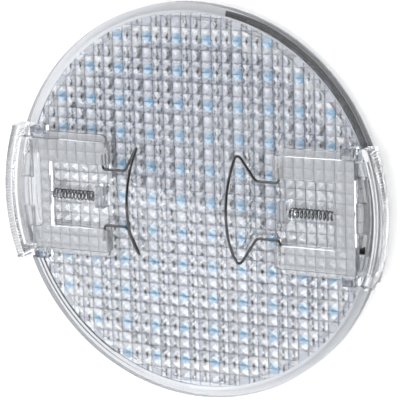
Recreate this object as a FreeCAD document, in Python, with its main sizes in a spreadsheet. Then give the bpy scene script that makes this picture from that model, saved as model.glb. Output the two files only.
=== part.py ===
import FreeCAD, Part
import Sketcher
import math
import os
import re

doc = FreeCAD.newDocument("lens_cap")
sheet = doc.addObject("Spreadsheet::Sheet", "Sizes")
sizes = {
    "rim_radius": 40.0,  # for a lens with a 77 mm filter thread
    "rim_back": 2.6,
    "rim_thickness": 2.4,
    "rim_land": 1.5,  # width of the flat front of the rim
    "rim_bevel": 0.5,
    "seat_width": 2.7,  # face that meets the lens, round the spigot
    "spigot_wall": 2.0,
    "shelf_width": 1.9,
    "shelf_height": 2.8,
    "shelf_thickness": 1.0,
    "disc_gap": 0.1,
    "diffuser_thickness": 1.2,
    "ridge_foot": 0.1,
    "ridge_height": 0.7,
    "filter_thickness": 0.25,
    "window_thickness": 0.35,
    "prism_border": 1.3,
    "prism_pitch": 2.18,
    "prism_height": 0.7,
    "slide_gap": 0.25,
    "latch_travel": 1.8,
    "arm_length": 12.8,
    "arm_half": 11.3,  # half of the width over both arms
    "arm_width": 4.65,
    "arm_height": 2.15,
    "arm_corner": 0.5,
    "web_length": 4.4,
    "strip_height": 1.55,
    "strip_width": 1.8,
    "cutout_width": 2.4,
    "cutout_half": 10.8,
    "bridge_half": 3.0,
    "lip_width": 1.3,
    "lip_neck": 0.75,
    "lip_height": 0.85,
    "neck_length": 3.0,
    "lip_corner": 1.1,
    "stop_gap": 0.1,
    "keeper_wall": 1.3,
    "hook_thickness": 0.95,
    "grip_reach": 1.5,  # past the rim
    "grip_wall": 1.7,
    "grip_half": 13.8,
    "grip_skirt": 1.25,
    "grip_rise": 2.65,
    "reed_pitch": 0.58,
    "reed_depth": 0.22,
    "tongue_half": 7.6,
    "tongue_reach": 0.4,  # past the teeth
    "tongue_wall": 1.0,
    "tooth_reach": 1.2,  # past the spigot
    "tooth_wall": 1.1,
    "tooth_pitch": 0.75,
    "tooth_depth": 0.4,
    "tooth_foot": 0.8,
    "tooth_block": 2.2,
    "post_length": 1.9,
    "post_half": 2.2,
    "stud_radius": 0.6,
    "stud_length": 1.5,
    "spring_radius": 1.05,
    "spring_wire": 0.3,
    "spring_turns": 12,
    "spring_rise": 1.05,  # axis above the underside of the latch
    "spring_length": 10.1,
    "wire_radius": 0.3,
    "pivot_gap": 0.05,
    "pivot_offset": 0.95,  # pivot from the inner end of the arm
    "pivot_rise": 1.35,
    "pin_length": 3.0,
    "pin_end_gap": 0.25,
    "leg_half": 5.75,
    "leg_length": 5.0,
    "leg_drop": 0.1,
    "flare_run": 3.5,
    "flare_rise": 1.0,
    "tip_half": 11.5,
    "bow_rise": 5.45,
    "bow_run": 2.6,  # straight stretch at each end of the bow
    "corner_bend": 0.65,
    "leg_bend": 1.2,
    "tip_bend": 0.8,
    "rest_length": 0.6,
    "rest_gap": 0.05,
}
for row, (alias, size) in enumerate(sizes.items(), 1):
    sheet.set("A%d" % row, alias)
    sheet.set("B%d" % row, str(size))
    sheet.setAlias("B%d" % row, alias)
doc.recompute()

# levels and radii that several pieces share
rim_front = "(rim_back + rim_thickness)"
seat_radius = "(rim_radius - rim_land - rim_bevel)"
spigot_radius = "(rim_radius - seat_width)"
spigot_bore = "(%s - spigot_wall)" % spigot_radius
shelf_top = "(shelf_height + shelf_thickness)"
window_bottom = "(%s + filter_thickness)" % shelf_top
window_middle = "(%s + window_thickness / 2)" % window_bottom
window_top = "(%s + window_thickness)" % window_bottom
window_radius = "(%s - disc_gap)" % seat_radius
prism_radius = "(%s - prism_border)" % window_radius
ridge_pitch = "(1.5 * prism_pitch)"  # one ridge behind each column of dots
prism_top = "(%s + prism_height)" % window_top
latch_base = "(%s + slide_gap)" % prism_top
arm_top = "(%s + arm_height)" % latch_base
bay_half = "(arm_half - arm_width)"
grip_radius = "(rim_radius + grip_reach)"
grip_inner = "(%s - grip_wall)" % grip_radius
grip_bottom = "(%s - grip_skirt)" % latch_base
grip_top = "(%s + grip_rise)" % latch_base
tooth_radius = "(%s + tooth_reach)" % spigot_radius
tooth_inner = "(%s - tooth_wall)" % tooth_radius
tongue_radius = "(%s + tongue_reach)" % tooth_radius
tongue_inner = "(%s - tongue_wall)" % tongue_radius
cutout_radius = "(%s - strip_width)" % grip_inner
web_end = "(%s - cutout_width)" % cutout_radius
bay_end = "(%s - web_length)" % web_end
arm_end = "(%s - arm_length)" % bay_end
lip_end = "(%s - neck_length)" % web_end
spring_start = "(%s - spring_length)" % bay_end
slot_half = "(tongue_half + slide_gap)"
slot_inner = "(sqrt(%s ^ 2 - tongue_half ^ 2) - latch_travel - slide_gap)" % tooth_inner
slot_radius = "(%s + slide_gap)" % tongue_radius
notch_half = "(grip_half + slide_gap)"
notch_inner = "(sqrt(%s ^ 2 - grip_half ^ 2) - latch_travel - slide_gap)" % grip_inner
keeper_inner = "(arm_half + lip_neck + slide_gap)"
keeper_outer = "(%s + keeper_wall)" % keeper_inner
keeper_start = "(%s + stop_gap)" % lip_end
keeper_end = "(sqrt(%s ^ 2 - %s ^ 2) - latch_travel - slide_gap)" % (grip_inner, keeper_outer)
hook_bottom = "(%s + lip_height + slide_gap)" % latch_base
spring_axis = "(%s + spring_rise)" % latch_base
pivot_x = "(%s + pivot_offset)" % arm_end
pivot_z = "(%s + pivot_rise)" % latch_base


def bound(text):
    return re.sub("[a-z_]+", lambda word: ("Sizes." if word[0] in sizes else "") + word[0], text)


def value(text):
    return float(sheet.evalExpression(bound(text)))


def origin_item(body, role):
    return next(item for item in body.Origin.OriginFeatures if item.Role == role)


def new_body(label, turn=0):
    body = doc.addObject("PartDesign::Body", label)
    body.Label = label
    body.Placement = FreeCAD.Placement(FreeCAD.Vector(), FreeCAD.Rotation(FreeCAD.Vector(0, 0, 1), turn))
    return body


def new_sketch(body, role, level="0"):
    sketch = body.newObject("Sketcher::SketchObject", "sketch")
    sketch.AttachmentSupport = (origin_item(body, role), [""])
    sketch.MapMode = "FlatFace"
    if level != "0":
        sketch.setExpression(".AttachmentOffset.Base.z", bound(level))
    return sketch


def fix(sketch, kind, geometry, text, point=None):
    size = value(text)
    if point is None:
        number = sketch.addConstraint(Sketcher.Constraint(kind, geometry, size))
    elif text == "0":
        axis = -2 if kind == "DistanceX" else -1
        sketch.addConstraint(Sketcher.Constraint("PointOnObject", geometry, point, axis))
        return
    else:
        number = sketch.addConstraint(Sketcher.Constraint(kind, -1, 1, geometry, point, size))
    sketch.setExpression("Constraints[%d]" % number, bound(text))


def join(sketch, first, last):
    for geometry in range(first, last + 1):
        after = first if geometry == last else geometry + 1
        sketch.addConstraint(Sketcher.Constraint("Coincident", geometry, 2, after, 1))


def add_polygon(sketch, points):
    spots = [FreeCAD.Vector(value(x), value(y), 0) for x, y in points]
    first = sketch.GeometryCount
    for spot, after in zip(spots, spots[1:] + spots[:1]):
        sketch.addGeometry(Part.LineSegment(spot, after))
    join(sketch, first, first + len(points) - 1)
    for geometry, (x, y) in enumerate(points, first):
        fix(sketch, "DistanceX", geometry, x, 1)
        fix(sketch, "DistanceY", geometry, y, 1)


def add_box(sketch, x_low, x_high, y_low, y_high):
    add_polygon(sketch, [(x_low, y_low), (x_high, y_low), (x_high, y_high), (x_low, y_high)])


def add_circle(sketch, x, y, radius):
    center = FreeCAD.Vector(value(x), value(y), 0)
    circle = sketch.addGeometry(Part.Circle(center, FreeCAD.Vector(0, 0, 1), value(radius)))
    fix(sketch, "DistanceX", circle, x, 3)
    fix(sketch, "DistanceY", circle, y, 3)
    fix(sketch, "Radius", circle, radius)


def add_arc(sketch, radius, start, end):
    circle = Part.Circle(FreeCAD.Vector(), FreeCAD.Vector(0, 0, 1), radius)
    return sketch.addGeometry(Part.ArcOfCircle(circle, start, end))


def add_sector(sketch, x_low, y_low, y_high, radius):
    # straight inner side and a round outer side about the middle of the cap
    size = value(radius)
    low, high = value(y_low), value(y_high)
    near_low = FreeCAD.Vector(value(x_low), low, 0)
    near_high = FreeCAD.Vector(value(x_low), high, 0)
    far_low = FreeCAD.Vector(math.sqrt(size ** 2 - low ** 2), low, 0)
    far_high = FreeCAD.Vector(math.sqrt(size ** 2 - high ** 2), high, 0)
    first = sketch.addGeometry(Part.LineSegment(near_low, far_low))
    arc = add_arc(sketch, size, math.asin(low / size), math.asin(high / size))
    sketch.addGeometry(Part.LineSegment(far_high, near_high))
    sketch.addGeometry(Part.LineSegment(near_high, near_low))
    join(sketch, first, first + 3)
    sketch.addConstraint(Sketcher.Constraint("Coincident", arc, 3, -1, 1))
    fix(sketch, "Radius", arc, radius)
    for geometry, text in ((first, y_low), (first + 2, y_high)):
        sketch.addConstraint(Sketcher.Constraint("Horizontal", geometry))
        fix(sketch, "DistanceY", geometry, text, 1)
    sketch.addConstraint(Sketcher.Constraint("Vertical", first + 3))
    fix(sketch, "DistanceX", first, x_low, 1)


def add_band(sketch, inner, outer, half):
    # stretch of a round wall between two level ends
    small, large, reach = value(inner), value(outer), value(half)
    near, far = math.sqrt(small ** 2 - reach ** 2), math.sqrt(large ** 2 - reach ** 2)
    low_end = (FreeCAD.Vector(near, -reach, 0), FreeCAD.Vector(far, -reach, 0))
    high_end = (FreeCAD.Vector(far, reach, 0), FreeCAD.Vector(near, reach, 0))
    low = sketch.addGeometry(Part.LineSegment(*low_end))
    outside = add_arc(sketch, large, -math.asin(reach / large), math.asin(reach / large))
    high = sketch.addGeometry(Part.LineSegment(*high_end))
    inside = add_arc(sketch, small, -math.asin(reach / small), math.asin(reach / small))
    for one, one_point, other, other_point in (
        (low, 2, outside, 1), (outside, 2, high, 1), (high, 2, inside, 2), (inside, 1, low, 1),
        (outside, 3, -1, 1), (inside, 3, -1, 1),
    ):
        sketch.addConstraint(Sketcher.Constraint("Coincident", one, one_point, other, other_point))
    fix(sketch, "Radius", outside, outer)
    fix(sketch, "Radius", inside, inner)
    for geometry, text in ((low, "-(%s)" % half), (high, half)):
        sketch.addConstraint(Sketcher.Constraint("Horizontal", geometry))
        fix(sketch, "DistanceY", geometry, text, 1)


def pad(body, sketch, length, back=False):
    feature = body.newObject("PartDesign::Pad", "pad")
    feature.Profile = sketch
    feature.setExpression("Length", bound(length))
    feature.Reversed = back
    feature.Refine = False
    doc.recompute()
    return feature


def pocket(body, sketch, length=None, back=False, middle=False):
    before = body.Shape.Volume
    feature = body.newObject("PartDesign::Pocket", "pocket")
    feature.Profile = sketch
    if length is None:
        feature.Type = "ThroughAll"
    else:
        feature.setExpression("Length", bound(length))
    feature.Reversed = back
    feature.Midplane = middle
    feature.Refine = False
    doc.recompute()
    if feature.Shape.Volume > before - 1e-6:
        raise RuntimeError("a pocket of %s cuts nothing" % body.Label)
    return feature


def turn(body, kind, sketch, axis):
    feature = body.newObject(kind, "turned")
    feature.Profile = sketch
    feature.ReferenceAxis = (sketch, [axis])
    feature.Angle = 360
    doc.recompute()
    return feature


def mirror(body, features, role="YZ_Plane"):
    feature = body.newObject("PartDesign::Mirrored", "mirrored")
    feature.Originals = features
    feature.MirrorPlane = (origin_item(body, role), [""])
    body.Tip = feature
    doc.recompute()
    return feature


def round_edges(body, radius, spots):
    # rounds the upright edges that stand at the given places
    base = body.Tip
    places = [(value(x), value(y)) for x, y in spots]
    names = []
    for number, edge in enumerate(base.Shape.Edges, 1):
        ends = [vertex.Point for vertex in edge.Vertexes]
        upright = len(ends) == 2 and (ends[0] - ends[1]).cross(FreeCAD.Vector(0, 0, 1)).Length < 1e-6
        if upright and any(math.dist(ends[0][:2], place) < 1e-3 for place in places):
            names.append("Edge%d" % number)
    feature = body.newObject("PartDesign::Fillet", "rounding")
    feature.Base = (base, names)
    feature.setExpression("Radius", bound(radius))
    doc.recompute()
    return feature


def make_ring():
    body = new_body("body_ring")
    sketch = new_sketch(body, "XZ_Plane")
    add_polygon(sketch, [
        (spigot_bore, "0"),
        (spigot_radius, "0"),
        (spigot_radius, "rim_back"),
        ("rim_radius", "rim_back"),
        ("rim_radius", rim_front),
        ("rim_radius - rim_land", rim_front),
        (seat_radius, rim_front + " - rim_bevel"),
        (seat_radius, shelf_top),
        (spigot_bore + " - shelf_width", shelf_top),
        (spigot_bore + " - shelf_width", "shelf_height"),
        (spigot_bore, "shelf_height"),
    ])
    turn(body, "PartDesign::Revolution", sketch, "V_Axis")
    # the rim gives way to the grip, and the tongue passes through a slot
    sketch = new_sketch(body, "XY_Plane", grip_bottom + " - slide_gap")
    add_box(sketch, notch_inner, grip_radius, "-" + notch_half, notch_half)
    notch = pocket(body, sketch, back=True)
    sketch = new_sketch(body, "XY_Plane", rim_front)
    add_sector(sketch, slot_inner, "-" + slot_half, slot_half, slot_radius)
    slot = pocket(body, sketch)
    mirror(body, [notch, slot])
    return body


def add_twin_boxes(sketch, x_low, x_high, y_low, y_high):
    # the same box on the left and on the right of the cap
    for side in ("", "-"):
        add_box(sketch, side + x_low, side + x_high, y_low, y_high)


def cut_slots(body, level):
    sketch = new_sketch(body, "XY_Plane", level)
    add_twin_boxes(sketch, slot_inner, "rim_radius", "-" + slot_half, slot_half)
    return pocket(body, sketch)


def make_disc(label, radius, bottom, thickness):
    body = new_body(label)
    sketch = new_sketch(body, "XY_Plane", bottom)
    add_circle(sketch, "0", "0", radius)
    pad(body, sketch, thickness)
    return body


def make_plate():
    plate = make_disc("window_plate", window_radius, window_bottom, "window_thickness")
    cut_slots(plate, window_top)
    # posts that back the springs, and keepers that hook over the lips of the latches
    uprights = new_sketch(plate, "XY_Plane", window_middle)
    hooks = new_sketch(plate, "XY_Plane", hook_bottom)
    add_twin_boxes(uprights, "(%s - post_length)" % spring_start, spring_start, "-post_half", "post_half")
    for side in ("", "-"):
        add_twin_boxes(uprights, keeper_start, keeper_end, side + keeper_inner, side + keeper_outer)
        hook_tip = side + "(arm_half + slide_gap)"
        add_twin_boxes(hooks, keeper_start, keeper_end, hook_tip, side + keeper_outer)
    pad(plate, uprights, "%s + hook_thickness - %s" % (hook_bottom, window_middle))
    pad(plate, hooks, "hook_thickness")
    # studs that stand inside the coils
    for side in (1, -1):
        sketch = new_sketch(plate, "YZ_Plane", "%d * (%s - post_length / 2)" % (side, spring_start))
        add_circle(sketch, "0", spring_axis, "stud_radius")
        pad(plate, sketch, "post_length / 2 + stud_length", back=side < 0)
    return plate


def cut_grooves(body, role, rows, pitch, bottom, top):
    # V grooves side by side, which leave sharp ridges between them
    reach = "%s * %d" % (pitch, rows - 1)
    start = "-(%s) / 2" % reach
    sketch = new_sketch(body, role)
    add_polygon(sketch, [
        ("%s - %s / 2" % (start, pitch), top), (start, bottom), ("%s + %s / 2" % (start, pitch), top),
    ])
    groove = pocket(body, sketch, "4 * rim_radius", middle=True)
    pattern = body.newObject("PartDesign::LinearPattern", "rows")
    pattern.Originals = [groove]
    pattern.Direction = (sketch, ["H_Axis"])
    pattern.setExpression("Length", bound(reach))
    pattern.Occurrences = rows
    pattern.Refine = False
    body.Tip = pattern
    doc.recompute()


def make_prisms():
    prisms = make_disc("prisms", prism_radius, window_middle, "%s - %s" % (prism_top, window_middle))
    cut_slots(prisms, prism_top)
    # two crossed sets of grooves leave square pyramids
    rows = 2 * math.floor(value(prism_radius) / value("prism_pitch")) + 1
    for role in ("XZ_Plane", "YZ_Plane"):
        cut_grooves(prisms, role, rows, "prism_pitch", window_top, prism_top)
    return prisms


def make_diffuser():
    bottom = "shelf_height - diffuser_thickness"
    diffuser = make_disc("rear_diffuser", spigot_bore + " - disc_gap", bottom, "diffuser_thickness")
    # ridges that stand up inside the shelf and run up the face
    radius = spigot_bore + " - shelf_width - disc_gap"
    sketch = new_sketch(diffuser, "XY_Plane", "shelf_height - diffuser_thickness / 2")
    add_circle(sketch, "0", "0", radius)
    pad(diffuser, sketch, "diffuser_thickness / 2 + ridge_foot + ridge_height")
    rows = 2 * math.ceil(value(radius) / value(ridge_pitch))
    foot = "(shelf_height + ridge_foot)"
    cut_grooves(diffuser, "XZ_Plane", rows, ridge_pitch, foot, foot + " + ridge_height")
    return diffuser


def make_window():
    window = doc.addObject("Part::Fuse", "prism_window")
    window.Base = make_plate()
    window.Tool = make_prisms()
    window.Refine = False
    return window


def make_latch(label, angle):
    body = new_body(label, angle)
    sketch = new_sketch(body, "XY_Plane", latch_base)
    add_polygon(sketch, [
        (arm_end, "-arm_half"), (web_end, "-arm_half"), (web_end, "arm_half"), (arm_end, "arm_half"),
        (arm_end, bay_half), (bay_end, bay_half), (bay_end, "-" + bay_half), (arm_end, "-" + bay_half),
    ])
    pad(body, sketch, "arm_height")
    corners = [(arm_end, side + "arm_half") for side in ("", "-")]
    corners += [(arm_end, side + bay_half) for side in ("", "-")]
    round_edges(body, "arm_corner", corners)
    sketch = new_sketch(body, "XY_Plane", latch_base)
    start = arm_end + " + arm_corner"
    for side in ("", "-"):
        neck = side + "(arm_half + lip_neck)"
        edge = side + "(arm_half + lip_width)"
        root = side + "(arm_half - lip_width)"
        add_polygon(sketch, [
            (start, root), (web_end, root), (web_end, neck), (lip_end, neck), (lip_end, edge), (start, edge),
        ])
    pad(body, sketch, "lip_height")
    round_edges(body, "lip_corner", [(start, side + "(arm_half + lip_width)") for side in ("", "-")])
    sketch = new_sketch(body, "XY_Plane", latch_base)
    strip_start, strip_end = web_end + " - web_length / 2", grip_inner + " + grip_wall / 2"
    add_sector(sketch, strip_start, "-arm_half", "arm_half", strip_end)
    pad(body, sketch, "strip_height")
    sketch = new_sketch(body, "XY_Plane", arm_top)
    add_sector(sketch, web_end, "bridge_half", "cutout_half", cutout_radius)
    add_sector(sketch, web_end, "-cutout_half", "-bridge_half", cutout_radius)
    pocket(body, sketch)
    # grip with upright reeds on its outside
    sketch = new_sketch(body, "XY_Plane", grip_bottom)
    add_band(sketch, grip_inner, grip_radius, "grip_half")
    pad(body, sketch, "grip_skirt + grip_rise")
    reach = math.degrees(math.asin(value("grip_half / " + grip_radius)))
    step = math.degrees(value("reed_pitch / " + grip_radius))
    reeds = 2 * math.floor(reach / step - 0.5) + 1
    first = math.radians(-step * (reeds - 1) / 2)
    cosine, sine = "cos(%r rad)" % first, "sin(%r rad)" % first
    outside, inside = "(%s + reed_depth)" % grip_radius, "(%s - reed_depth)" % grip_radius
    spread = "(1.1 * reed_pitch)"  # neighbours meet, so the reeds are sharp ridges
    sketch = new_sketch(body, "XY_Plane", grip_top)
    corner = "%s * %s %s %s * %s"
    add_polygon(sketch, [
        (corner % (outside, cosine, "+", spread, sine), corner % (outside, sine, "-", spread, cosine)),
        (corner % (outside, cosine, "-", spread, sine), corner % (outside, sine, "+", spread, cosine)),
        ("%s * %s" % (inside, cosine), "%s * %s" % (inside, sine)),
    ])
    reed = pocket(body, sketch)
    pattern = body.newObject("PartDesign::PolarPattern", "reeds")
    pattern.Originals = [reed]
    pattern.Axis = (origin_item(body, "Z_Axis"), [""])
    pattern.Angle = step * (reeds - 1)
    pattern.Occurrences = reeds
    pattern.Refine = False
    body.Tip = pattern
    doc.recompute()
    # tongue that reaches the lens thread, with two rows of teeth
    sketch = new_sketch(body, "XY_Plane", "tooth_foot")
    add_band(sketch, tooth_inner, tooth_radius, "tongue_half")
    pad(body, sketch, "tooth_block")
    sketch = new_sketch(body, "XY_Plane", "tooth_foot + tooth_block - tooth_wall")
    add_band(sketch, tongue_inner, tongue_radius, "tongue_half")
    pad(body, sketch, latch_base + " + strip_height / 2 - tooth_foot - tooth_block + tooth_wall")
    sketch = new_sketch(body, "XZ_Plane")
    for row in range(2):
        middle = "tooth_foot + tooth_pitch * %r" % (row + 0.75)
        add_polygon(sketch, [
            (tooth_radius + " + tooth_depth / 4", middle + " - tooth_pitch / 2"),
            (tooth_radius + " + tooth_depth / 4", middle + " + tooth_pitch / 2"),
            (tooth_radius + " - tooth_depth", middle),
        ])
    turn(body, "PartDesign::Groove", sketch, "V_Axis")
    # holes for the wire, rests under its legs, and the stud inside the coil
    sketch = new_sketch(body, "XZ_Plane")
    add_circle(sketch, pivot_x, pivot_z, "wire_radius + pivot_gap")
    pocket(body, sketch, "2 * (leg_half + pin_length + pin_end_gap)", middle=True)
    sketch = new_sketch(body, "XY_Plane", latch_base)
    for side in ("", "-"):
        tip, root = side + "(leg_half - wire_radius)", side + "(%s + arm_corner)" % bay_half
        add_box(sketch, arm_end, arm_end + " + rest_length", tip, root)
    pad(body, sketch, "pivot_rise - wire_radius - rest_gap - leg_drop * pivot_offset / leg_length")
    sketch = new_sketch(body, "YZ_Plane", bay_end + " + stud_length")
    add_circle(sketch, "0", spring_axis, "stud_radius")
    pad(body, sketch, "2 * stud_length", back=True)
    return body


def make_spring(label, angle):
    # coil of short straight lengths, with a many-sided section
    around, sides = 10, 5
    turns = round(value("spring_turns"))
    thick = value("spring_wire") / 2
    radius = value("spring_radius") - thick
    start = value(spring_start + " + rest_gap") + thick
    length = value("spring_length - 2 * rest_gap") - 2 * thick
    points = []
    for step in range(turns * around + 1):
        bearing = 2 * math.pi * step / around
        across = FreeCAD.Vector(0, math.sin(bearing), -math.cos(bearing)) * radius
        forward = start + length * step / (turns * around)
        points.append(FreeCAD.Vector(forward, 0, value(spring_axis)) + across)
    along = (points[1] - points[0]).normalize()
    first = along.cross(FreeCAD.Vector(1, 0, 0)).normalize() * thick
    second = along.cross(first)
    corners = []
    for corner in range(sides + 1):
        bearing = 2 * math.pi * corner / sides
        corners.append(points[0] + first * math.cos(bearing) + second * math.sin(bearing))
    spring = doc.addObject("Part::Feature", label)
    spring.Shape = Part.makePolygon(points).makePipeShell([Part.makePolygon(corners)], True, False, 1)
    spring.Placement = FreeCAD.Placement(FreeCAD.Vector(), FreeCAD.Rotation(FreeCAD.Vector(0, 0, 1), angle))
    return spring


def bent_path(points, bends):
    # straight runs through the points, with a round bend at each inner one
    edges = []
    last = points[0]
    for before, corner, after, radius in zip(points, points[1:], points[2:], bends):
        arrive = (corner - before).normalize()
        leave = (after - corner).normalize()
        half = arrive.getAngle(leave) / 2
        start = corner - arrive * (radius * math.tan(half))
        end = corner + leave * (radius * math.tan(half))
        middle = corner + (leave - arrive).normalize() * (radius / math.cos(half) - radius)
        edges.append(Part.LineSegment(last, start).toShape())
        edges.append(Part.Arc(start, middle, end).toShape())
        last = end
    edges.append(Part.LineSegment(last, points[-1]).toShape())
    return edges


def make_wire(label, angle):
    half, rise, run = value("tip_half"), value("bow_rise"), value("bow_run")
    pivot = FreeCAD.Vector(value(pivot_x), value("leg_half"), value(pivot_z))
    pin = pivot + FreeCAD.Vector(0, value("pin_length"), 0)
    knee = pivot - FreeCAD.Vector(value("leg_length"), 0, value("leg_drop"))
    tip = FreeCAD.Vector(knee.x - value("flare_run"), half, knee.z + value("flare_rise"))
    # the bow is an arc that its straight ends touch
    radius = (half ** 2 + rise ** 2 - run ** 2) / (2 * rise)
    top = FreeCAD.Vector(tip.x, 0, tip.z + rise)
    center = top - FreeCAD.Vector(0, 0, radius)
    angle_to_tip = math.atan2(half, tip.z - center.z)
    angle_to_touch = angle_to_tip - math.atan2(run, radius)
    touch = center + FreeCAD.Vector(0, math.sin(angle_to_touch), math.cos(angle_to_touch)) * radius
    thick = value("wire_radius")
    pin_end = pivot + FreeCAD.Vector(0, value("corner_bend") + thick / 3, 0)
    run_points = [pin_end, pivot, knee, tip, touch]
    far_points = [FreeCAD.Vector(point.x, -point.y, point.z) for point in reversed(run_points)]
    bends = [value(name) for name in ("corner_bend", "leg_bend", "tip_bend")]
    bow = Part.Arc(touch, top, far_points[0]).toShape()
    path = Part.Wire(bent_path(run_points, bends) + [bow] + bent_path(far_points, bends[::-1]))
    # the bent run has a many-sided section, and the pins that turn in the latch are round
    sides = 8
    corners = []
    for corner in range(sides + 1):
        bearing = 2 * math.pi * corner / sides
        corners.append(pin_end + FreeCAD.Vector(math.cos(bearing), 0, math.sin(bearing)) * thick)
    solid = path.makePipe(Part.Face(Part.makePolygon(corners)))
    for end, way in ((pin_end, 1), (far_points[-1], -1)):
        solid = solid.fuse(Part.makeCylinder(thick, pin.y - pin_end.y, end, FreeCAD.Vector(0, way, 0)))
    wanted = math.pi * thick ** 2 * (path.Length + 2 * (pin.y - pin_end.y))
    if abs(solid.Volume / wanted - 1) > 0.12:
        raise RuntimeError("%s is not a wire of even thickness" % label)
    wire = doc.addObject("Part::Feature", label)
    wire.Shape = solid
    wire.Placement = FreeCAD.Placement(FreeCAD.Vector(), FreeCAD.Rotation(FreeCAD.Vector(0, 0, 1), angle))
    return wire


window = make_window()
colour_filter = make_disc("colour_filter", window_radius, shelf_top, "filter_thickness")
cut_slots(colour_filter, window_bottom)
pieces = [make_ring(), window, colour_filter, make_diffuser()]
for side, name in ((1, "right"), (-1, "left")):
    angle = 90 - 90 * side
    pieces.append(make_latch(name + "_latch", angle))
    pieces.append(make_spring(name + "_spring", angle))
    pieces.append(make_wire(name + "_pinch_wire", angle))

doc.recompute()
for item in doc.Objects:
    if "Invalid" in item.State or "Error" in item.State:
        raise RuntimeError("%s failed" % item.Label)
for piece in pieces:
    if piece.Shape.isNull() or not piece.Shape.isValid() or len(piece.Shape.Solids) != 1:
        raise RuntimeError("%s is not one valid solid" % piece.Label)
os.makedirs("parts", exist_ok=True)
for piece in pieces:
    piece.Shape.exportStep("parts/%s.step" % piece.Label)
    print(piece.Label, round(piece.Shape.Volume, 2))
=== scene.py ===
import math

import bmesh
import bpy
from mathutils import Matrix, Vector


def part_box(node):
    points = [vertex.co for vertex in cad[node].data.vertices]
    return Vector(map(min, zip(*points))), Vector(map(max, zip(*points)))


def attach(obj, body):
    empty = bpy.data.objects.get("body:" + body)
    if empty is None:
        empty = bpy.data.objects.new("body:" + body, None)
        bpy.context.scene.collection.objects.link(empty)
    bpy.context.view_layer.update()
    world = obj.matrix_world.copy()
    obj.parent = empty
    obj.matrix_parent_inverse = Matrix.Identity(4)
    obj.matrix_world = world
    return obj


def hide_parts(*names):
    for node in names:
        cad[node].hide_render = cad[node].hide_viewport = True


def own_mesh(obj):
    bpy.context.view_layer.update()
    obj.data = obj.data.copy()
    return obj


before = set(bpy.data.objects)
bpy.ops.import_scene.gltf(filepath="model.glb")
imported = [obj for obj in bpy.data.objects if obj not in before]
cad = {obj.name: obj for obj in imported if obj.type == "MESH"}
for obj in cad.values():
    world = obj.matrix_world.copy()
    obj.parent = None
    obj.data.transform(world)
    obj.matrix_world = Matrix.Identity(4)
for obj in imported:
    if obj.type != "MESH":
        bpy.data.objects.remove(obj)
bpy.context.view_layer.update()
mm = 0.001
scene = bpy.context.scene
scene.view_settings.view_transform = "Standard"
bounces = {"clear": 40, "mirror": 16}  # many clear walls stand behind each other
scene.cycles.max_bounces = bounces["clear"]
scene.cycles.transmission_bounces = bounces["clear"]
scene.cycles.glossy_bounces = bounces["mirror"]
print("frame loaded")


def linearColour(hexCode):
    parts = [int(hexCode[i:i + 2], 16) / 255 for i in (1, 3, 5)]
    return [p / 12.92 if p <= 0.04045 else ((p + 0.055) / 1.055) ** 2.4 for p in parts] + [1]


def addNode(tree, kind, inputs=None, **settings):
    node = tree.nodes.new(kind)
    for name, value in settings.items():
        setattr(node, name, value)
    for key, value in (inputs or {}).items():
        if isinstance(value, bpy.types.Node):
            value = value.outputs[0]  # a node stands for its first output
        if isinstance(value, bpy.types.NodeSocket):
            tree.links.new(value, node.inputs[key])
        else:
            node.inputs[key].default_value = value
    return node


def newMaterial(name, **values):
    material = bpy.data.materials.new(name)
    material.use_nodes = True
    shader = material.node_tree.nodes["Principled BSDF"]
    for key, value in values.items():
        shader.inputs[key.replace("_", " ")].default_value = value
    return material, material.node_tree, shader


def objectAxes(tree):
    place = addNode(tree, "ShaderNodeTexCoord").outputs["Object"]
    return addNode(tree, "ShaderNodeSeparateXYZ", {0: place}).outputs


polishPatches = {"from": 0.3, "to": 0.7, "least": 0.67, "most": 1.33, "detail": 3.0}


def unevenPolish(tree, shader, roughness, grain):
    # the polish comes and goes by a third, over patches of the given width in mm
    look = polishPatches
    place = addNode(tree, "ShaderNodeTexCoord").outputs["Object"]
    patches = addNode(tree, "ShaderNodeTexNoise", {
        "Vector": place, "Scale": 1 / (grain * mm), "Detail": look["detail"]})
    level = addNode(tree, "ShaderNodeMapRange", {
        0: patches, 1: look["from"], 2: look["to"],
        3: roughness * look["least"], 4: roughness * look["most"]})
    tree.links.new(level.outputs[0], shader.inputs["Roughness"])


def addShadeStripes(tree, colour, pitch, shades, edge, weights):
    # painted shade: stripes of two darker shades over one colour, first those across and then the upright
    # ones
    axes = objectAxes(tree)
    for axis, shade in zip("YX", shades):
        off = addNode(tree, "ShaderNodeMath", {0: axes[axis], 1: pitch / 2 * mm}, operation="PINGPONG")
        line = addNode(tree, "ShaderNodeMapRange", {
            0: off, 1: edge[0] * mm, 2: edge[1] * mm, 3: weights[0], 4: weights[1]})
        mixed = addNode(tree, "ShaderNodeMix", {
            0: line, 6: colour, 7: linearColour(shade)}, data_type="RGBA")
        colour = mixed.outputs[2]
    tree.links.new(colour, tree.nodes["Principled BSDF"].inputs["Base Color"])


acrylicLook = {
    "colour": "#f8f9fb", "depth": "#adb1b8", "ior": 1.49, "flowMarks": 5.0,
    "ring": {"roughness": 0.03, "clarity": 0.98, "density": 240},
    "latch": {"roughness": 0.035, "clarity": 0.92, "density": 40},
    "prism": {"roughness": 0.01, "clarity": 1, "density": 30},
}


def mouldedAcrylic(name, roughness, clarity, density):
    # moulded clear acrylic: glossy, with faint flow marks, and grey where light runs far through it
    look = acrylicLook
    material, tree, shader = newMaterial(
        name, Base_Color=linearColour(look["colour"]), Transmission_Weight=clarity,
        IOR=look["ior"], Roughness=roughness)
    unevenPolish(tree, shader, roughness, look["flowMarks"])
    depth = addNode(tree, "ShaderNodeVolumeAbsorption", {
        "Color": linearColour(look["depth"]), "Density": density})
    tree.links.new(depth.outputs[0], tree.nodes["Material Output"].inputs["Volume"])
    return material


# colours and widths of the painted shade over the prism's groove bottoms
valleyShadeLook = {"pitch": 2.18, "width": 0.14, "fade": (0.25, 0.75), "across": "#ccd2da", "upright": "#b3bac6"}


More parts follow.
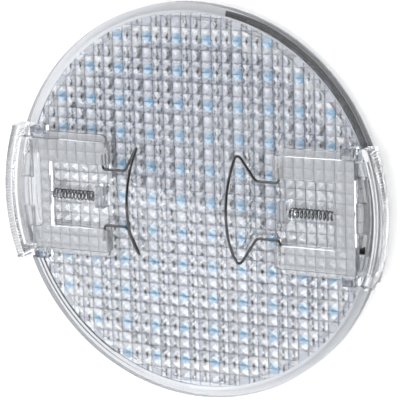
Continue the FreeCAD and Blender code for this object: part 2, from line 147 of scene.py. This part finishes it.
def paintValleyShade(material):
    # painted shade: darker stripes over the rounded bottoms of the grooves, which bend light away; painted
    # wider than they are, to show
    look = valleyShadeLook
    edge = [look["width"] * part for part in look["fade"]]
    addShadeStripes(material.node_tree, linearColour(acrylicLook["colour"]), look["pitch"],
               (look["across"], look["upright"]), edge, (1.0, 0.0))


filmLook = {
    "ior": 1.5, "roughness": 0.02, "clear": "#fbfcff", "grey": "#d6d9e2", "blue": "#a1cbe8",
    "dotPitch": 3.27, "dotRadius": 1.1, "dotEdge": 0.15, "inkCover": 0.8,
    # the dash colour is painted shade beside the dots
    "dash": "#20262f", "dashPlace": 1.15, "dashWidth": 0.4, "dashLength": 2.0,
    "dashFade": (0.25, 0.75), "dashEndFade": (0.25, 0.6),
    "plainFrom": 18.6, "plainHalf": 12.6, "plainCover": 0.72, "plainWhite": "#fafbfd",
    "borderFrom": 33.0, "borderTo": 36.5, "borderCover": 0.6,
}


def flatDistance(tree, x, y):
    flat = addNode(tree, "ShaderNodeCombineXYZ", {0: x, 1: y})
    return addNode(tree, "ShaderNodeVectorMath", {0: flat}, operation="LENGTH").outputs["Value"]


def dotMask(tree, axes, period, shiftX):
    inner, outer = (filmLook["dotRadius"] + side * filmLook["dotEdge"] for side in (-1, 1))
    moved = addNode(tree, "ShaderNodeMath", {0: axes["X"], 1: shiftX}, operation="ADD")
    offX = addNode(tree, "ShaderNodeMath", {0: moved, 1: period / 2}, operation="PINGPONG")
    offY = addNode(tree, "ShaderNodeMath", {0: axes["Y"], 1: period / 2}, operation="PINGPONG")
    return addNode(tree, "ShaderNodeMapRange", {
        0: flatDistance(tree, offX, offY), 1: inner * mm, 2: outer * mm, 3: 1.0, 4: 0.0})


def shadeDashMask(tree, axes, pitch):
    # painted shade: thin dark dashes stand at both sides of each dot in the columns that have no blue
    look = filmLook
    offX = addNode(tree, "ShaderNodeMath", {0: axes["X"], 1: pitch}, operation="PINGPONG")
    offY = addNode(tree, "ShaderNodeMath", {0: axes["Y"], 1: pitch / 2}, operation="PINGPONG")
    side = addNode(tree, "ShaderNodeMath", {0: offX, 1: look["dashPlace"] * mm}, operation="SUBTRACT")
    across = addNode(tree, "ShaderNodeMath", {0: side}, operation="ABSOLUTE")
    thinFrom, thinTo = (look["dashWidth"] * part * mm for part in look["dashFade"])
    thin = addNode(tree, "ShaderNodeMapRange", {0: across, 1: thinFrom, 2: thinTo, 3: 1.0, 4: 0.0})
    endFrom, endTo = (look["dashLength"] * part * mm for part in look["dashEndFade"])
    short = addNode(tree, "ShaderNodeMapRange", {0: offY, 1: endFrom, 2: endTo, 3: 1.0, 4: 0.0})
    return addNode(tree, "ShaderNodeMath", {0: thin, 1: short}, operation="MULTIPLY")


def patternArea(tree, axes):
    # all of the film but the plain white fields under the latches
    look = filmLook
    out = addNode(tree, "ShaderNodeMath", {0: axes["X"]}, operation="ABSOLUTE")
    up = addNode(tree, "ShaderNodeMath", {0: axes["Y"]}, operation="ABSOLUTE")
    middle = addNode(tree, "ShaderNodeMath", {0: out, 1: look["plainFrom"] * mm}, operation="LESS_THAN")
    beyond = addNode(tree, "ShaderNodeMath", {0: up, 1: look["plainHalf"] * mm}, operation="GREATER_THAN")
    return addNode(tree, "ShaderNodeMath", {0: middle, 1: beyond}, operation="MAXIMUM")


def milkyBorder(tree, axes):
    # a milky border lies over the shelf of the ring
    look = filmLook
    far = flatDistance(tree, axes["X"], axes["Y"])
    begun = addNode(tree, "ShaderNodeMath", {0: far, 1: look["borderFrom"] * mm}, operation="GREATER_THAN")
    ended = addNode(tree, "ShaderNodeMath", {0: far, 1: look["borderTo"] * mm}, operation="LESS_THAN")
    border = addNode(tree, "ShaderNodeMath", {0: begun, 1: ended}, operation="MULTIPLY")
    return addNode(tree, "ShaderNodeMath", {0: border, 1: look["borderCover"]}, operation="MULTIPLY")


def printedFilm():
    # clear polyester film with screen-printed dots, every fourth one pale blue, plain white fields, and
    # painted shade in dark dashes by the dots
    look = filmLook
    pitch = look["dotPitch"] * mm
    material, tree, shader = newMaterial(
        "printed polyester film", IOR=look["ior"], Roughness=look["roughness"])
    axes = objectAxes(tree)
    printed = patternArea(tree, axes)
    anyDot = dotMask(tree, axes, pitch, 0)
    blueDot = dotMask(tree, axes, 2 * pitch, pitch)
    dash = shadeDashMask(tree, axes, pitch)

    # from the dots up: printed dots on clear film, painted shade dashes over them, then the plain fields
    colour = linearColour(look["blue"])
    layers = ((blueDot, look["grey"], True), (anyDot, look["clear"], True),
              (dash, look["dash"], False), (printed, look["plainWhite"], True))
    for mask, hexCode, below in layers:
        pair = (linearColour(hexCode), colour) if below else (colour, linearColour(hexCode))
        mixed = addNode(tree, "ShaderNodeMix", {0: mask, 6: pair[0], 7: pair[1]}, data_type="RGBA")
        colour = mixed.outputs[2]
    tree.links.new(colour, shader.inputs["Base Color"])

    ink = addNode(tree, "ShaderNodeMath", {0: anyDot, 1: look["inkCover"]}, operation="MULTIPLY")
    # the painted shade dashes cover the film as the ink does
    inkAndShade = addNode(tree, "ShaderNodeMath", {0: ink, 1: dash}, operation="MAXIMUM")
    milky = milkyBorder(tree, axes)
    inkAndShade = addNode(tree, "ShaderNodeMath", {0: inkAndShade, 1: milky}, operation="MAXIMUM")
    cover = addNode(tree, "ShaderNodeMix", {0: printed, 2: look["plainCover"], 3: inkAndShade})
    bare = addNode(tree, "ShaderNodeMath", {0: 1.0, 1: cover}, operation="SUBTRACT")
    tree.links.new(bare.outputs[0], shader.inputs["Transmission Weight"])
    return material


opalLook = {"metallic": 0.1, "roughness": 0.06, "ridgePitch": 3.27, "footWidth": 0.5, "fade": (0.5, 0.25),
            # the foot and across colours are painted shade where the ridges meet
            "white": "#f4f7fc", "foot": "#8b93a3", "across": "#c8ced7"}


def opalSheet():
    # white ridged acrylic: milky, and each ridge mirrors part of the light; painted shade makes its foot
    # grey, with fainter grey lines across
    look = opalLook
    material, tree, shader = newMaterial("ridged opal acrylic")
    shader.inputs["Metallic"].default_value = look["metallic"]
    shader.inputs["Roughness"].default_value = look["roughness"]
    edge = [look["ridgePitch"] / 2 - look["footWidth"] * part for part in look["fade"]]
    addShadeStripes(tree, linearColour(look["white"]), look["ridgePitch"],
               (look["across"], look["foot"]), edge, (0.0, 1.0))
    return material


steelLook = {
    "drawMarks": 0.4,
    "coil": {"colour": "#808183", "roughness": 0.25},
    "bow": {"colour": "#5f5d5c", "roughness": 0.1},
}


def drawnSteel(name, colour, roughness):
    # bright drawn spring steel: mirror-like, with fine draw marks
    material, tree, shader = newMaterial(name, Base_Color=linearColour(colour), Metallic=1)
    unevenPolish(tree, shader, roughness, steelLook["drawMarks"])
    return material


ringAcrylic = mouldedAcrylic("moulded clear acrylic", **acrylicLook["ring"])
latchAcrylic = mouldedAcrylic("softly moulded clear acrylic", **acrylicLook["latch"])
prismAcrylic = mouldedAcrylic("prismatic clear acrylic", **acrylicLook["prism"])
# painted shade over the groove bottoms of the prism window
paintValleyShade(prismAcrylic)
film = printedFilm()
opal = opalSheet()
coilSteel = drawnSteel("drawn spring steel", **steelLook["coil"])
bowSteel = drawnSteel("bright steel wire", **steelLook["bow"])
print("materials made")


def newPiece(name, mesh, material, node, body):
    piece = bpy.data.objects.new(name, mesh)
    scene.collection.objects.link(piece)
    mesh.materials.clear()
    mesh.materials.append(material)
    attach(piece, body)
    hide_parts(node)
    return piece


shading = {"creaseAngle": 32, "weld": 0.0005, "airGap": 0.02}


def smoothCopy(node, lift=0):
    # the solid's own mesh, welded, with its round walls shaded smooth
    crease = math.radians(shading["creaseAngle"])
    shell = bmesh.new()
    shell.from_mesh(cad[node].data)
    bmesh.ops.remove_doubles(shell, verts=shell.verts, dist=shading["weld"] * mm)
    for face in shell.faces:
        face.smooth = True
    for edge in shell.edges:
        edge.smooth = len(edge.link_faces) == 2 and edge.calc_face_angle(0) < crease
    bmesh.ops.translate(shell, verts=shell.verts, vec=(0, 0, lift * mm))
    mesh = bpy.data.meshes.new(node)
    shell.to_mesh(mesh)
    shell.free()
    if "custom_normal" in mesh.attributes:
        mesh.attributes.remove(mesh.attributes["custom_normal"])
    return mesh


newPiece("bodyRing", smoothCopy("body_ring"), ringAcrylic, "body_ring", "body")
filterMesh = smoothCopy("colour_filter", -shading["airGap"])
newPiece("dotFilter", filterMesh, film, "colour_filter", "body")
for side in ("left", "right"):
    latch = side + "_latch"
    newPiece(side + "Latch", smoothCopy(latch), latchAcrylic, latch, latch)
for node, material in (("prism_window", prismAcrylic), ("rear_diffuser", opal)):
    cad[node].data.materials.clear()
    cad[node].data.materials.append(material)
print("clear pieces made")


def plainMesh(carrier):
    bpy.context.view_layer.update()
    mesh = bpy.data.meshes.new_from_object(carrier.evaluated_get(bpy.context.evaluated_depsgraph_get()))
    bpy.data.objects.remove(carrier)
    return mesh


def bakedMesh(tree, values):
    carrier = bpy.data.objects.new(tree.name, bpy.data.meshes.new(tree.name))
    scene.collection.objects.link(carrier)
    modifier = carrier.modifiers.new(tree.name, "NODES")
    modifier.node_group = tree
    for item in tree.interface.items_tree:
        if item.in_out == "INPUT" and item.name in values:
            modifier[item.identifier] = values[item.name]
    return plainMesh(carrier)


coil = {"turns": 12, "radius": 0.9, "wire": 0.15, "axisHeight": 6.4, "stroke": 1.8,
        "around": 20, "sides": 10}


def coilTree():
    tree = bpy.data.node_groups.new("compression coil", "GeometryNodeTree")
    sockets = {"Turns": "Float", "Radius": "Float", "Length": "Float", "Wire": "Float",
               "Start": "Vector", "Steel": "Material"}
    for name, kind in sockets.items():
        tree.interface.new_socket(name, in_out="INPUT", socket_type="NodeSocket" + kind)
    tree.interface.new_socket("Coil", in_out="OUTPUT", socket_type="NodeSocketGeometry")
    given = addNode(tree, "NodeGroupInput").outputs
    line = addNode(tree, "GeometryNodeCurveSpiral", {
        "Resolution": coil["around"], "Rotations": given["Turns"], "Start Radius": given["Radius"],
        "End Radius": given["Radius"], "Height": given["Length"]})
    ring = addNode(tree, "GeometryNodeCurvePrimitiveCircle", {
        "Resolution": coil["sides"], "Radius": given["Wire"]})
    tube = addNode(tree, "GeometryNodeCurveToMesh", {
        "Curve": line, "Profile Curve": ring, "Fill Caps": True})
    laid = addNode(tree, "GeometryNodeTransform", {
        "Geometry": tube, "Translation": given["Start"], "Rotation": (0, math.radians(90), 0)})
    smooth = addNode(tree, "GeometryNodeSetShadeSmooth", {"Geometry": laid})
    real = addNode(tree, "GeometryNodeRealizeInstances", {"Geometry": smooth})
    done = addNode(tree, "GeometryNodeSetMaterial", {"Geometry": real, "Material": given["Steel"]})
    addNode(tree, "NodeGroupOutput", {"Coil": done})
    return tree


springTree = coilTree()
for side, sign in (("left", -1), ("right", 1)):
    node = side + "_spring"
    low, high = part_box(node)
    mesh = bakedMesh(springTree, {
        "Turns": float(coil["turns"]), "Radius": coil["radius"] * mm, "Wire": coil["wire"] * mm,
        "Length": high[0] - low[0] - 2 * coil["wire"] * mm,
        "Start": (low[0] + coil["wire"] * mm, 0, coil["axisHeight"] * mm), "Steel": coilSteel})
    spring = newPiece(side + "Spring", mesh, coilSteel, node, "body")
    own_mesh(spring)
print("springs wound")


bow = {"pivotX": 19.35, "pivotZ": 6.7, "legHalf": 5.75, "pinLength": 3.0, "legLength": 5.0, "legDrop": 0.1,
       "flareRun": 3.5, "flareRise": 1.0, "tipHalf": 11.5, "bowRise": 5.45, "bowRun": 2.6,
       "bends": (0.65, 1.2, 0.8), "wireRadius": 0.272, "bendSteps": 8, "bowSteps": 40, "roundness": 4}


def arcPoints(centre, start, end, steps):
    first, last = start - centre, end - centre
    axis, angle = first.cross(last).normalized(), first.angle(last)
    return [centre + Matrix.Rotation(angle * step / steps, 3, axis) @ first for step in range(steps + 1)]


def bentRun(points, bends):
    run = [points[0]]
    for before, corner, after, radius in zip(points, points[1:], points[2:], bends):
        arrive, leave = (corner - before).normalized(), (after - corner).normalized()
        half = arrive.angle(leave) / 2
        centre = corner + (leave - arrive).normalized() * (radius / math.cos(half))
        reach = radius * math.tan(half)
        run += arcPoints(centre, corner - arrive * reach, corner + leave * reach, bow["bendSteps"])
    return run


def bowPath():
    # pin, leg, flare and the round bow, drawn for one half and mirrored
    half, rise = bow["tipHalf"], bow["bowRise"]
    pivot = Vector((bow["pivotX"], bow["legHalf"], bow["pivotZ"]))
    pin = pivot + Vector((0, bow["pinLength"], 0))
    knee = pivot - Vector((bow["legLength"], 0, bow["legDrop"]))
    tip = Vector((knee.x - bow["flareRun"], half, knee.z + bow["flareRise"]))
    radius = (half ** 2 + rise ** 2 - bow["bowRun"] ** 2) / (2 * rise)
    centre = Vector((tip.x, 0, tip.z + rise - radius))
    angle = math.atan2(half, tip.z - centre.z) - math.atan2(bow["bowRun"], radius)
    touch = centre + Vector((0, math.sin(angle), math.cos(angle))) * radius
    near = bentRun([pin, pivot, knee, tip, touch], bow["bends"])
    far = [Vector((p.x, -p.y, p.z)) for p in reversed(near)]
    return near + arcPoints(centre, touch, Vector((touch.x, -touch.y, touch.z)), bow["bowSteps"]) + far


def bowMesh(name, sign):
    path = bowPath()
    curve = bpy.data.curves.new(name, "CURVE")
    curve.dimensions = "3D"
    curve.bevel_depth = bow["wireRadius"] * mm
    curve.bevel_resolution = bow["roundness"]
    curve.use_fill_caps = True
    line = curve.splines.new("POLY")
    line.points.add(len(path) - 1)
    for point, place in zip(line.points, path):
        point.co = (sign * place.x * mm, sign * place.y * mm, place.z * mm, 1)
    carrier = bpy.data.objects.new(name, curve)
    scene.collection.objects.link(carrier)
    mesh = plainMesh(carrier)
    for face in mesh.polygons:
        face.use_smooth = len(face.vertices) == 4  # the caps stay flat
    return mesh


for side, sign in (("left", -1), ("right", 1)):
    node = side + "_pinch_wire"
    newPiece(side + "Bow", bowMesh(side + "Bow", sign), bowSteel, node, side + "_wire")
print("wire bows bent")


studio = {"floorSize": 3.0, "floorDrop": 0.02, "floorColour": "#f4f4f4", "floorRoughness": 0.9,
          "floorGlow": 0.25, "worldLight": 0.8}


def seenRays(tree):
    # rays from the camera, straight or by way of gloss and clear walls
    path = addNode(tree, "ShaderNodeLightPath").outputs
    seen = path["Is Camera Ray"]
    for ray in ("Is Glossy Ray", "Is Transmission Ray"):
        seen = addNode(tree, "ShaderNodeMath", {0: seen, 1: path[ray]}, operation="MAXIMUM").outputs[0]
    return seen


def floorMaterial():
    # matt white paper: an even white that keeps the cap's soft shadow
    material, tree, shader = newMaterial(
        "white paper floor", Base_Color=linearColour(studio["floorColour"]),
        Roughness=studio["floorRoughness"])
    glow = addNode(tree, "ShaderNodeMath", {
        0: seenRays(tree), 1: studio["floorGlow"]}, operation="MULTIPLY")
    shader.inputs["Emission Color"].default_value = (1, 1, 1, 1)
    tree.links.new(glow.outputs[0], shader.inputs["Emission Strength"])
    return material


def whiteWorld():
    world = bpy.data.worlds.new("white studio")
    scene.world = world
    world.use_nodes = True
    tree = world.node_tree
    level = addNode(tree, "ShaderNodeMapRange", {0: seenRays(tree), 3: studio["worldLight"], 4: 1.0})
    back = tree.nodes["Background"]
    back.inputs["Color"].default_value = (1, 1, 1, 1)
    tree.links.new(level.outputs[0], back.inputs["Strength"])


def stagePiece(name, corners, walls, material, drop):
    mesh = bpy.data.meshes.new(name)
    mesh.from_pydata(corners, [], walls)
    mesh.materials.append(material)
    piece = bpy.data.objects.new(name, mesh)
    piece.location.z = -drop * mm
    scene.collection.objects.link(piece)
    return piece


half = studio["floorSize"] / 2
floorCorners = [(-half, -half, 0), (half, -half, 0), (half, half, 0), (-half, half, 0)]
floor = stagePiece("studioFloor", floorCorners, [(0, 1, 2, 3)], floorMaterial(), studio["floorDrop"])
whiteWorld()


feltLook = {"colour": "#0d0f13", "drop": 0.01, "steps": 30}
flags = {  # both edges by reach in m and rise in degrees from the middle of the cap, then degrees around it
    "sideFlag": {"edges": ((1.2, 12), (1.2, 90)), "start": -20, "sweep": 112},
    # painted shade: the next two cloths lie under the cap's edge and its right grip, for the dark shadow
    # beneath the cap
    "underShadeCloth": {"edges": ((0.0366, 0), (0.0386, 0)), "start": 19, "sweep": 62},
    "gripShadeCloth": {"edges": ((0.0335, 0), (0.0402, 0)), "start": -19, "sweep": 38},
    "rimFlag": {"edges": ((0.0416, 0), (0.0427, 0)), "start": 192, "sweep": 46},
}


def blackFelt():
    # black felt: almost no light comes back
    material, tree, shader = newMaterial(
        "black felt", Base_Color=linearColour(feltLook["colour"]), Roughness=1)
    depth = addNode(tree, "ShaderNodeLightPath").outputs["Diffuse Depth"]
    # it is open to light that a matt surface has sent on, so it takes none from the prints
    shut = addNode(tree, "ShaderNodeMath", {0: depth, 1: 0.5}, operation="LESS_THAN")
    tree.links.new(shut.outputs[0], shader.inputs["Alpha"])
    return material


def darkFlag(name, edges, start, sweep, felt):
    # dark cloth beside or under the cap, seen only in gloss and through clear edges; the cloths under the
    # cap are painted shade for the shadow there
    steps = feltLook["steps"]
    corners = []
    for step in range(steps + 1):
        around = math.radians(start + sweep * step / steps)
        for reach, rise in edges:
            flat = math.cos(math.radians(rise))
            way = Vector((flat * math.cos(around), flat * math.sin(around), math.sin(math.radians(rise))))
            corners.append(way * reach)
    walls = [(step, step + 2, step + 3, step + 1) for step in range(0, 2 * steps, 2)]
    cloth = stagePiece(name, corners, walls, felt, feltLook["drop"])
    cloth.visible_camera = False
    cloth.visible_diffuse = False
    cloth.visible_shadow = False


felt = blackFelt()
for name, place in flags.items():
    darkFlag(name, felt=felt, **place)


lamps = {
    "keyLamp": {"place": (-0.22, -0.11, 0.95), "size": 1.0, "watts": 6.1, "mirrored": False},
    "facetLamp": {"place": (0.61, -0.22, 0.75), "size": 0.2, "watts": 0.9, "mirrored": True},
    "fillLamp": {"place": (-0.5, 0.7, 0.56), "size": 0.3, "watts": 1.0, "mirrored": True},
}
for name, lamp in lamps.items():
    light = bpy.data.lights.new(name, "AREA")
    light.size = lamp["size"]
    light.energy = lamp["watts"]
    holder = bpy.data.objects.new(name, light)
    holder.location = lamp["place"]
    holder.rotation_euler = Vector(lamp["place"]).to_track_quat("Z", "Y").to_euler()
    holder.visible_glossy = lamp["mirrored"]
    scene.collection.objects.link(holder)


view = {"lens": 244.4, "sensor": 36, "nearest": 0.01, "place": (235.3, 119.4, 473.9),
        "right": (0.8971, -0.0261, -0.4410), "up": (-0.0747, 0.9749, -0.2096),
        "back": (0.4354, 0.2210, 0.8727)}
camera = bpy.data.objects.new("photoCamera", bpy.data.cameras.new("photoCamera"))
camera.data.lens = view["lens"]
camera.data.sensor_width = view["sensor"]
camera.data.clip_start = view["nearest"]
turn = Matrix((view["right"], view["up"], view["back"])).transposed().to_4x4()
camera.matrix_world = Matrix.Translation(Vector(view["place"]) * mm) @ turn
scene.collection.objects.link(camera)
scene.camera = camera
print("studio set")
